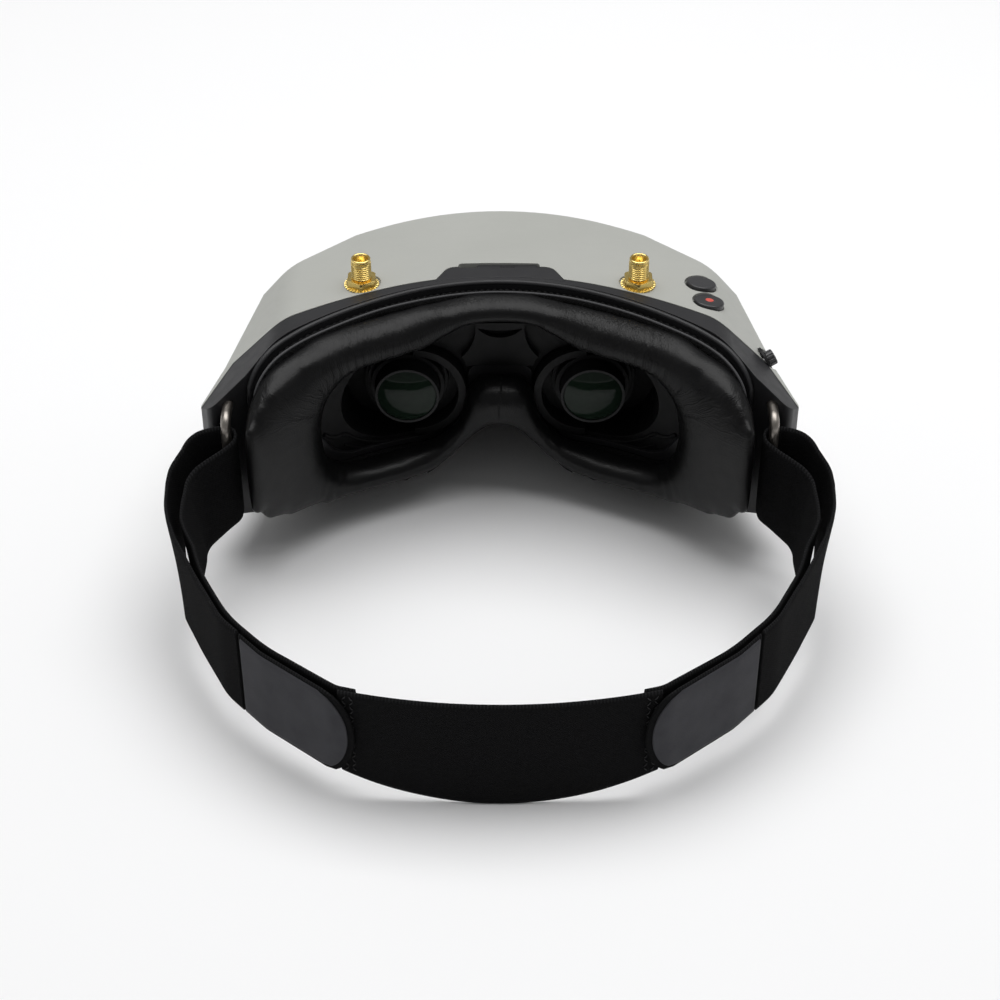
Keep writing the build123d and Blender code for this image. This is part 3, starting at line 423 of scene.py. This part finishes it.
def tube(name, points, radius, material, body="root", closed=False, sides=10, flat=1.0):
    """A round or flattened bead along a line of frame points."""
    line = np.array([tuple(p) for p in points], float)
    count = len(line)
    if closed:
        run = np.roll(line, -1, 0) - np.roll(line, 1, 0)
    else:
        run = np.gradient(line, axis=0)
    run /= np.linalg.norm(run, axis=1)[:, None]
    side = np.cross(run, (0.0, 0.02, 1.0))
    weak = np.linalg.norm(side, axis=1) < 0.2
    side[weak] = np.cross(run[weak], (0.0, 1.0, 0.0))
    side /= np.linalg.norm(side, axis=1)[:, None]
    for k in range(1, count):
        if side[k] @ side[k - 1] < 0:
            side[k] = -side[k]
    up = np.cross(side, run)
    verts = []
    for k in range(count):
        for j in range(sides):
            turn = 2 * math.pi * j / sides
            out = side[k] * (math.cos(turn) * radius)
            verts.append(line[k] + out + up[k] * (math.sin(turn) * radius * flat))
    faces = []
    for k in range(count if closed else count - 1):
        a, b = k * sides, ((k + 1) % count) * sides
        for j in range(sides):
            faces.append((a + j, a + (j + 1) % sides, b + (j + 1) % sides, b + j))
    if not closed:
        faces.append(tuple(reversed(range(sides))))
        faces.append(tuple(range((count - 1) * sides, count * sides)))
    return piece(name, verts, faces, material, body)


# ---------------------------------------------------------------- face pad
PAD_FRONT = RIM_RADIUS - 1.85     # where the pad sits on its strip
PAD_VOXEL = 0.0034
PAD_SWELL = 0.0022                # the most that a point of the pad may move when it swells
PAD_FILL = 1.3                    # millimetres that easing took off and the foam gives back
PAD_MIDDLE = [(0, 72.3), (20, 70.0), (40, 66.5), (57, 64.5), (65.5, 57), (68, 40), (66, 26),
              (60, 18.5), (48, 16), (36, 15), (24, 18.5), (13, 29), (6.5, 39), (0, 40)]
# Larger folds across the roll: place, depth, spread and pitch, in millimetres.
PAD_FOLDS = [((45, 66), 0.24, 5.5, 2.3), ((54, 17), 0.22, 3.0, 3.0), ((27, 68.5), 0.10, 9.0, 2.2)]


def links_of(mesh):
    pairs = np.zeros(len(mesh.edges) * 2, int)
    mesh.edges.foreach_get("vertices", pairs)
    return pairs.reshape(-1, 2)


def points_of(mesh):
    co = np.zeros(len(mesh.vertices) * 3)
    mesh.vertices.foreach_get("co", co)
    return co.reshape(-1, 3)


def relax(co, pairs, free, rounds, share=0.5):
    """Evens out a mesh, keeping the points whose share of freedom is nought."""
    count = np.bincount(pairs.ravel(), minlength=len(co)).astype(float)[:, None]
    for _ in range(rounds):
        total = np.zeros_like(co)
        np.add.at(total, pairs[:, 0], co[pairs[:, 1]])
        np.add.at(total, pairs[:, 1], co[pairs[:, 0]])
        co = co + (total / count - co) * share * free[:, None]
    return co


def evaluated_mesh(made):
    bpy.context.view_layer.update()
    shown = made.evaluated_get(bpy.context.evaluated_depsgraph_get())
    return bpy.data.meshes.new_from_object(shown)


def curve_radius(co):
    """Distance of points, in millimetres, from the axis that the face plate curves about."""
    return np.hypot(co[:, 0], co[:, 1] - CONNECTOR_Y - FACE_CENTRE_Y / 1000) * 1000


def around_pad(co):
    """For each point of the pad: millimetres along the ring; also where each piece of the ring starts, in
    millimetres.
    """
    ring = np.roll(resample(mirrored(PAD_MIDDLE), 260, closed=True), 130, axis=0)
    ends = np.roll(ring, -1, 0)
    start = np.r_[0, np.cumsum(np.linalg.norm(ends - ring, axis=1))]
    flat = co[:, [0, 2]] * 1000
    best = np.full(len(co), 1e9)
    along = np.zeros(len(co))
    for k in range(len(ring)):
        run = ends[k] - ring[k]
        length = np.linalg.norm(run)
        t = np.clip(((flat - ring[k]) @ run) / length ** 2, 0, 1)
        away = np.linalg.norm(flat - ring[k] - t[:, None] * run, axis=1)
        closer = away < best
        best[closer] = away[closer]
        along[closer] = start[k] + t[closer] * length
    return along, start


def swell(made, pinned):
    """Foam and air inside the cover push it out: a short cloth simulation, then a cap."""
    before = points_of(made.data)
    group = made.vertex_groups.new(name="held")
    for index in np.nonzero(pinned)[0]:
        group.add([int(index)], 1.0, "REPLACE")
    cloth = made.modifiers.new("cloth", "CLOTH")
    cloth.settings.quality = 5
    cloth.settings.mass = 0.3
    cloth.settings.tension_stiffness = 12
    cloth.settings.compression_stiffness = 12
    cloth.settings.shear_stiffness = 5
    cloth.settings.bending_stiffness = 0.6
    cloth.settings.use_pressure = True
    cloth.settings.uniform_pressure_force = 4.0
    cloth.settings.effector_weights.gravity = 0.0
    cloth.settings.vertex_group_mass = "held"
    cloth.collision_settings.use_collision = False
    scene = bpy.context.scene
    for number in range(1, 21):
        scene.frame_set(number)
    swollen = evaluated_mesh(made)
    after = points_of(swollen)
    scene.frame_set(1)
    made.modifiers.clear()
    made.vertex_groups.clear()
    bpy.data.meshes.remove(swollen)
    move = after - before
    size = np.linalg.norm(move, axis=1)
    share = np.minimum(1.0, PAD_SWELL / np.maximum(size, 1e-9))
    return before + move * share[:, None]


def pad_cover():
    """The pad: remeshed from its solid, eased, swollen, folded, and fine enough for its creases."""
    made = bpy.data.objects.new("pad_cover", nodes["face_pad"].data.copy())
    bpy.context.scene.collection.objects.link(made)
    remesh = made.modifiers.new("remesh", "REMESH")
    remesh.mode = "VOXEL"
    remesh.voxel_size = PAD_VOXEL
    made.data = evaluated_mesh(made)
    made.modifiers.clear()
    co = points_of(made.data)
    pairs = links_of(made.data)
    radius = curve_radius(co)
    free = np.clip((PAD_FRONT - 0.4 - radius) / 3.0, 0, 1)
    co = relax(co, pairs, free, 16)
    made.data.vertices.foreach_set("co", co.ravel())
    made.data.update()
    co = swell(made, free < 0.05)
    co = relax(co, pairs, free, 2)
    made.data.vertices.foreach_set("co", co.ravel())
    made.data.update()
    finer = made.modifiers.new("finer", "SUBSURF")
    finer.levels = finer.render_levels = 2
    made.data = evaluated_mesh(made)
    made.modifiers.clear()
    mesh = made.data
    mesh.name = "pad_cover"
    co = points_of(mesh)
    normals = np.zeros(len(co) * 3)
    mesh.vertices.foreach_get("normal", normals)
    normals = normals.reshape(-1, 3)
    along, start = around_pad(co)
    total = start[-1]
    radius = curve_radius(co)
    free = np.clip((PAD_FRONT - 1.0 - radius) / 3.0, 0, 1)
    depth = np.zeros(len(co))
    for side in SIDES.values():
        for (x, z), deep, spread, pitch in PAD_FOLDS:
            spot = around_pad(np.array([[side * x / 1000, 0, z / 1000]]))[0][0]
            off = (along - spot + total / 2) % total - total / 2
            bend = 0.9 * np.sin(radius * 0.45 + x)
            depth += deep * np.exp(-(off / spread) ** 2) * np.cos(2 * math.pi * (off + bend) / pitch)
    lumps = np.array([noise.noise(Vector(p) * 55.0) for p in co])
    ripple = np.array([noise.noise(Vector(p) * 190.0) for p in co])
    push = (PAD_FILL + depth * 0.5 + lumps * 0.15 + ripple * 0.04) * free
    co = co + normals * (push / 1000)[:, None]
    mesh.vertices.foreach_set("co", co.ravel())
    brow = np.clip((co[:, 2] * 1000 - 48) / 14, 0, 1)
    nose = np.clip(1 - np.abs(co[:, 0] * 1000) / 24, 0, 1)
    patches = np.array([0.5 + noise.noise(Vector(p) * 38.0 + Vector((7.0, 3.0, 1.0))) for p in co])
    mask = np.clip(0.06 + 0.7 * np.maximum(brow, nose * 0.5) * np.clip(patches * 1.5, 0.2, 1.0), 0, 1)
    store_around(mesh, np.stack([along / 1000, radius / 1000, mask], 1))
    mesh.materials.clear()
    mesh.materials.append(materials["leatherette"])
    mesh.polygons.foreach_set("use_smooth", [True] * len(mesh.polygons))
    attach(made, "root")
    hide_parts("face_pad")
    return made


pad_cover()

# ---------------------------------------------------------------- strip and piping of the pad
# Right half of the outlines, from the top centre round to the notch for the nose.
OUTER_HALF = [(0, 75.6), (60, 71.2), (73.4, 68.5), (73.4, 20.6), (57, 16.1), (40, 12.9), (16.7, 12.9),
              (5.2, 26.6), (0, 27.1)]
OUTER_RADII = [380, 60, 11, 9, 20, 20, 5, 4, 30]
INNER_HALF = [(0, 70.3), (14.5, 70.3), (23, 62.6), (56, 60.6), (59.5, 32.5), (53.5, 18.7), (21, 18.7),
              (8.4, 34)]


def outline(half, radii):
    """A full rounded outline from its right half."""
    points = mirrored(half)
    both = list(radii) + [radii[k] for k in range(len(half) - 1, -1, -1) if half[k][0] > 0.01]
    return rounded(points, both, closed=True, step=0.6)


def hook_band():
    """Strip that holds the pad: ribbed all round its edge."""
    count = 1600
    outer = resample(outline(OUTER_HALF, OUTER_RADII), count, closed=True)
    inner = resample(outline(INNER_HALF, [30, 5, 8, 10, 14, 8, 6, 5]), count, closed=True)
    nearest = [int(np.argmin(np.linalg.norm(inner - p, axis=1))) for p in outer]
    verts, around = [], []
    pitch = 8
    rear, front = PAD_FRONT + 0.1, RIM_RADIUS - 0.1
    length = 0.0
    for k in range(count):
        x, z = outer[k]
        ahead = outer[(k + 1) % count] - outer[k - 1]
        side = np.array([ahead[1], -ahead[0]]) / np.linalg.norm(ahead)
        rib = 0.22 * math.sin(2 * math.pi * k / pitch)
        length += np.linalg.norm(ahead) / 2
        inside = inner[nearest[k]]
        for radius, lift in ((rear, -0.1), ((rear + front) / 2, 0.25), (front, -0.1)):
            spot = outer[k] - side * (rib + lift)
            verts.append(bent(spot[0], spot[1], radius))
            around.append((length / 1000, radius / 1000, 5.0))
        for radius in (front, rear):
            verts.append(bent(inside[0], inside[1], radius))
            around.append((length / 1000, radius / 1000, 5.0))
    faces = []
    for k in range(count):
        a, b = 5 * k, 5 * ((k + 1) % count)
        for j in range(5):
            faces.append((a + j, a + (j + 1) % 5, b + (j + 1) % 5, b + j))
    made = piece("hook_band", verts, faces, materials["hook_fabric"], around=around)
    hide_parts("hook_strip")


hook_band()


def pad_piping():
    """Thin bound edge of the pad's cover, and the rounded lip of the face plate in front of it."""
    grown = [(x * 1.006 if x else 0.0, z + (0.5 if z > 40 else -0.5)) for x, z in OUTER_HALF]
    edge = resample(outline(grown, OUTER_RADII), 420, closed=True)
    bright = thread_material("piping", (0.055, 0.055, 0.058))
    wave = [0.35 * noise.noise(Vector((x / 14, z / 14, 2.0))) for x, z in edge]
    points = [bent(x, z, PAD_FRONT - 0.9 + w) for (x, z), w in zip(edge, wave)]
    tube("pad_piping", points, 0.00042, bright, closed=True, sides=8)
    lip = [(0, 78.0), (60, 73.3), (75.6, 70.8), (75.6, 17.0), (52, 14.4), (15.6, 14.4), (8.0, 25.6),
           (0, 26.2)]
    rim = resample(outline(lip, [380, 60, 12, 9, 30, 5, 4, 30]), 420, closed=True)
    points = [bent(x, z, RIM_RADIUS + 0.35) for x, z in rim]
    tube("plate_lip", points, 0.0008, materials["frame_plastic"], closed=True, sides=12)


pad_piping()

# ---------------------------------------------------------------- head strap
STRAP_ROUTE = [(39.0, -145.15), (44.2, -143.7), (64.5, -128.3), (76.5, -115.5), (86, -97.5), (92.2, -78),
               (91, -62.5), (79.3, -53.2), (79.3, -48.7), (84.9, -48.7), (92.8, -51.2), (97.5, -61.5),
               (97.2, -72.5), (93.6, -87), (87.8, -98.5), (78.1, -116.65), (73, -122.2)]
STRAP_RADII = [8, 60, 40, 60, 30, 8, 3.5, 2.4, 2.4, 9, 9, 25, 25, 30, 25]
TAB_ROUTE = [(72.4, -122.9), (65.7, -130), (45.4, -146.5), (39.7, -148.4)]
TAB_RADII = [20, 12]
STRAP_WIDTH = 30.0
STRAP_THICK = 1.3
STRAP_TOP = [(-170, 37.2), (-130, 37.5), (-100, 39.5), (-82, 42.5), (-66, 46.5), (-50, 54.6), (-36, 56)]


def strap_top(y):
    return float(np.interp(y, [p[0] for p in STRAP_TOP], [p[1] for p in STRAP_TOP]))


def eased(values, rounds):
    """A line of numbers with its kinks smoothed out."""
    values = np.array(values, float)
    for _ in range(rounds):
        values[1:-1] = (values[:-2] + 2 * values[1:-1] + values[2:]) / 4
    return values


def ribbon(name, line, low, high, thick, material, rows=22, lean=None, wave=0.0, seed=0.0, ends=None):
    """An upright band along a plan line, with softly rounded edges and a slight ripple.

    ends gives, for each row across, how far the two ends are cut back, for a rounded end."""
    count = len(line)
    lean = np.zeros(count) if lean is None else lean
    run = np.gradient(line, axis=0)
    run /= np.linalg.norm(run, axis=1)[:, None]
    left = np.stack([-run[:, 1], run[:, 0]], 1)
    gone = run_length(line)
    verts, around = [], []
    section = []
    for j in range(rows + 1):
        section.append((j / rows, 0.5))
    for j in range(rows, -1, -1):
        section.append((j / rows, -0.5))
    total = len(section)
    for k in range(count):
        tall = high[k] - low[k]
        for share, half in section:
            edge = min(share, 1 - share) * tall
            soft = math.sqrt(max(0.0, 1 - (1 - min(1.0, edge / (thick * 0.5))) ** 2))
            offset = half * thick * (0.45 + 0.55 * soft)
            offset += lean[k] * (share - 0.5) * tall
            here = Vector((gone[k] / 16, share * 2.0, seed))
            offset += wave * noise.noise(here)
            place = gone[k]
            if ends:
                first, last = ends(share)
                place = first + (gone[-1] - first - last) * gone[k] / gone[-1]
            x = np.interp(place, gone, line[:, 0])
            y = np.interp(place, gone, line[:, 1])
            side_x = np.interp(place, gone, left[:, 0])
            side_y = np.interp(place, gone, left[:, 1])
            z = low[k] + share * tall
            verts.append(at(x + side_x * offset, y + side_y * offset, z))
            around.append((place / 1000, z / 1000, edge))
    faces = []
    for k in range(count - 1):
        a, b = k * total, (k + 1) * total
        for j in range(total):
            faces.append((a + j, a + (j + 1) % total, b + (j + 1) % total, b + j))
    for a in (0, (count - 1) * total):
        for j in range(rows):
            faces.append((a + j, a + j + 1, a + total - 2 - j, a + total - 1 - j))
    return piece(name, verts, faces, material, around=around)


def side_straps():
    for name, side in SIDES.items():
        route = [(side * x, y) for x, y in STRAP_ROUTE]
        line = resample(rounded(route, STRAP_RADII, step=0.5), 420)
        high = eased([strap_top(y) for y in line[:, 1]], 40)
        front = int(np.argmax(line[:, 1]))
        hang = np.interp(line[:, 1], [-88, -78, -66, -56], [0, 1, 1, 0])
        lean = hang * np.where(np.arange(len(line)) < front, -0.12, 0.10) * side
        made = ribbon(f"{name}_strap_web", line, high - STRAP_WIDTH, high, STRAP_THICK - 0.1,
                      materials["elastic"], lean=lean, wave=0.12, seed=side * 3.0)
        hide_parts(f"{name}_strap")
        route = [(side * x, y) for x, y in TAB_ROUTE]
        line = resample(rounded(route, TAB_RADII, step=0.5), 120)
        away = np.array([side * 0.5, -0.6]) * 0.6
        high = eased([strap_top(y) - 0.3 for y in line[:, 1]], 20)
        low = high - STRAP_WIDTH + 0.6

        def rounded_end(share):
            return 0.0, 9.5 * (1 - math.sqrt(max(0.0, 1 - (2 * share - 1) ** 2)))

        def panel_end(share):
            return 0.9, 1.6 + 9.0 * (1 - math.sqrt(max(0.0, 1 - (2 * share - 1) ** 2)))

        backing = ribbon(f"{name}_tab_backing", line, low, high, 0.9, materials["elastic"],
                         rows=26, ends=rounded_end)
        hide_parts(f"{name}_strap_tab")
        ribbon(f"{name}_tab_panel", line + away, low + 1.0, high - 1.0, 0.75, materials["tab_fabric"],
               rows=26, ends=panel_end)


side_straps()


BAND_BACK_Y = -151.05             # middle of the rear band's thickness, at its centre


def rear_band():
    """Wide band behind the head, deepest at its centre."""
    reach = 43.8
    sag = 5.94
    radius = (reach ** 2 + sag ** 2) / (2 * sag)
    turns = np.linspace(-math.asin(reach / radius), math.asin(reach / radius), 240)
    line = np.stack([radius * np.sin(turns), BAND_BACK_Y + radius * (1 - np.cos(turns))], 1)
    deep = (60.0 ** 2 + 14.2 ** 2) / (2 * 14.2)
    low = deep - np.sqrt(deep ** 2 - line[:, 0] ** 2)
    high = np.full(len(line), 37.2)
    made = ribbon("rear_band_web", line, low, high, STRAP_THICK - 0.1, materials["elastic"],
                  rows=30, wave=0.1, seed=9.0)
    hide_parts("rear_band")


rear_band()


def stitches(name, rows, material, length=1.5, radius=0.16, body="root"):
    """Rows of short raised stitches. Each is a centre, its direction and the cloth's outward side."""
    verts, faces = [], []
    for centre, along, outward in rows:
        along = Vector(along).normalized()
        outward = Vector(outward).normalized()
        across = along.cross(outward).normalized()
        first = len(verts)
        steps, sides = 6, 6
        for k in range(steps + 1):
            t = 2 * k / steps - 1
            thick = radius * math.sqrt(max(0.05, 1 - t ** 2 * 0.9))
            middle = Vector(centre) + (along * t * length / 2 + outward * (0.22 * (1 - t ** 2))) / 1000
            for j in range(sides):
                turn = 2 * math.pi * j / sides
                verts.append(middle + (across * math.cos(turn) + outward * math.sin(turn)) * thick / 1000)
        for k in range(steps):
            a, b = first + k * sides, first + (k + 1) * sides
            for j in range(sides):
                faces.append((a + j, a + (j + 1) % sides, b + (j + 1) % sides, b + j))
        faces.append(tuple(range(first, first + sides)))
        faces.append(tuple(range(first + steps * sides, first + (steps + 1) * sides)))
    return piece(name, verts, faces, material, body)


def band_seams():
    """Zigzag stitching where the side straps are sewn to the rear band."""
    dark = thread_material("dark_thread", (0.022, 0.022, 0.023))
    rows = []
    for side in SIDES.values():
        for column, x in enumerate((40.2, 42.2)):
            y = BAND_BACK_Y + 5.65 * (x / 42.7) ** 2 - 0.72
            outward = (side * 0.26, -0.965, 0)
            for k in range(17):
                z = 9.0 + k * 1.65
                tilt = 0.8 if (k + column) % 2 else -0.8
                rows.append((at(side * x, y, z), (tilt, side * tilt * 0.26, 1.0), outward))
    stitches("band_seams", rows, dark, length=1.6)


band_seams()


# ---------------------------------------------------------------- antenna connectors
CONNECTOR_X = 43.2
THREAD_PITCH = 0.706
THREAD_DEPTH = 0.48


def threaded_connector(name, side):
    """Connector with its helical thread, plain lip and hollow mouth."""
    sides = 72
    rings = []
    thread_low, thread_high = 77.0, 82.35
    for z in np.linspace(66.7, 76.9, 6):
        rings.append((z, 3.1, 0.0))
    for z in np.linspace(thread_low, thread_high, 92):
        fade = min(1.0, (thread_high - z) / 0.5)
        rings.append((z, 3.17, fade))
    rings += [(82.45, 2.85, 0), (82.75, 2.85, 0), (82.85, 3.05, 0), (83.75, 3.05, 0), (84.0, 2.85, 0),
              (84.0, 2.5, 0), (83.8, 2.32, 0), (80.2, 2.3, 0), (80.0, 2.1, 0), (79.6, 2.1, 0)]
    verts, faces = [], []
    for z, radius, cut in rings:
        for j in range(sides):
            turn = 2 * math.pi * j / sides
            phase = (z / THREAD_PITCH + j / sides) % 1.0
            groove = THREAD_DEPTH * abs(2 * phase - 1) * cut
            r = radius - groove
            verts.append(at(side * CONNECTOR_X + r * math.cos(turn), r * math.sin(turn), z))
    for k in range(len(rings) - 1):
        a, b = k * sides, (k + 1) * sides
        for j in range(sides):
            faces.append((a + j, a + (j + 1) % sides, b + (j + 1) % sides, b + j))
    faces.append(tuple(range(sides)))
    faces.append(tuple(range((len(rings) - 1) * sides, len(rings) * sides)))
    made = piece(name, verts, faces, materials["gold"])
    made.data.polygons[-1].use_smooth = False
    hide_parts(f"{'left' if side < 0 else 'right'}_antenna_connector")


for side_name, side in SIDES.items():
    threaded_connector(f"{side_name}_threaded_connector", side)


def star_washers():
    """Toothed lock washers under the nuts."""
    verts, faces = [], []
    teeth, per = 32, 4
    count = teeth * per
    for side in SIDES.values():
        first = len(verts)
        for k in range(count):
            turn = 2 * math.pi * k / count
            tooth = k % per
            outer = 5.5 if tooth in (1, 2) else 5.2
            twist = 0.05 if tooth == 1 else (-0.05 if tooth == 2 else 0.0)
            for radius, z in ((3.25, 74.84), (4.6, 74.84), (outer, 74.72 + twist), (outer, 74.36 + twist),
                              (4.6, 74.28), (3.25, 74.28)):
                verts.append(at(side * CONNECTOR_X + radius * math.cos(turn), radius * math.sin(turn), z))
        for k in range(count):
            a, b = first + 6 * k, first + 6 * ((k + 1) % count)
            for j in range(6):
                faces.append((a + j, a + (j + 1) % 6, b + (j + 1) % 6, b + j))
    made = piece("star_washers", verts, faces, materials["gold"], smooth=False)
    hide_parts("connector_washers")


star_washers()


# ---------------------------------------------------------------- small details
def record_mark():
    """Small domed red dot on the record button."""
    lean, fall = math.radians(8), math.radians(9)
    x, y = 64.9, -7.2
    z = 72.0 - 0.06 * y - (x - 62.9) * 0.3
    tilt = Matrix.Rotation(-fall, 3, "X") @ Matrix.Rotation(lean, 3, "Y")
    east, north, up = (tilt @ Vector(axis) for axis in ((1, 0, 0), (0, 1, 0), (0, 0, 1)))
    centre = at(x, y, z) + up * 0.00121
    verts, faces = [], []
    sides = 32
    profile = [(1.3, -0.03), (1.3, 0.05), (1.15, 0.1), (0.8, 0.12), (0.3, 0.13)]
    for radius, lift in profile:
        for j in range(sides):
            turn = 2 * math.pi * j / sides
            verts.append(centre + (east * math.cos(turn) + north * math.sin(turn)) * (radius / 1000)
                         + up * (lift / 1000))
    for k in range(len(profile) - 1):
        for j in range(sides):
            a, b = k * sides, (k + 1) * sides
            faces.append((a + j, a + (j + 1) % sides, b + (j + 1) % sides, b + j))
    faces.append(tuple(range(sides)))
    faces.append(tuple(range((len(profile) - 1) * sides, len(profile) * sides)))
    piece("record_mark", verts, faces, paint_material("red_mark", (0.66, 0.10, 0.075)), "record_key")


record_mark()


def plate_ridges():
    """Moulded ridges of the inner panel: a wavy step and louvre lines below each lens."""
    inner = RIM_RADIUS + 1.45
    for name, side in SIDES.items():
        wave = [(56, 30.5), (52.5, 27.0), (49.8, 28.2), (46.5, 24.6), (41, 21.0), (33, 19.6), (22, 19.8)]
        line = resample(rounded([(side * x, z) for x, z in wave], [4, 2, 3, 8, 12, 14], step=0.4), 90)
        tube(f"{name}_wavy_ridge", [bent(x, z, inner) for x, z in line], 0.0007,
             materials["matte_black"], sides=10)
        for index, (x0, z0, x1, z1) in enumerate(((50, 23.6, 44, 19.6), (49, 20.6, 42, 18.2))):
            middle = (side * (x0 + x1) / 2, (z0 + z1) / 2 - 0.3)
            line = resample([(side * x0, z0), middle, (side * x1, z1)], 40)
            tube(f"{name}_louvre_{index}", [bent(x, z, inner) for x, z in line], 0.00045,
                 materials["matte_black"], sides=8)


plate_ridges()
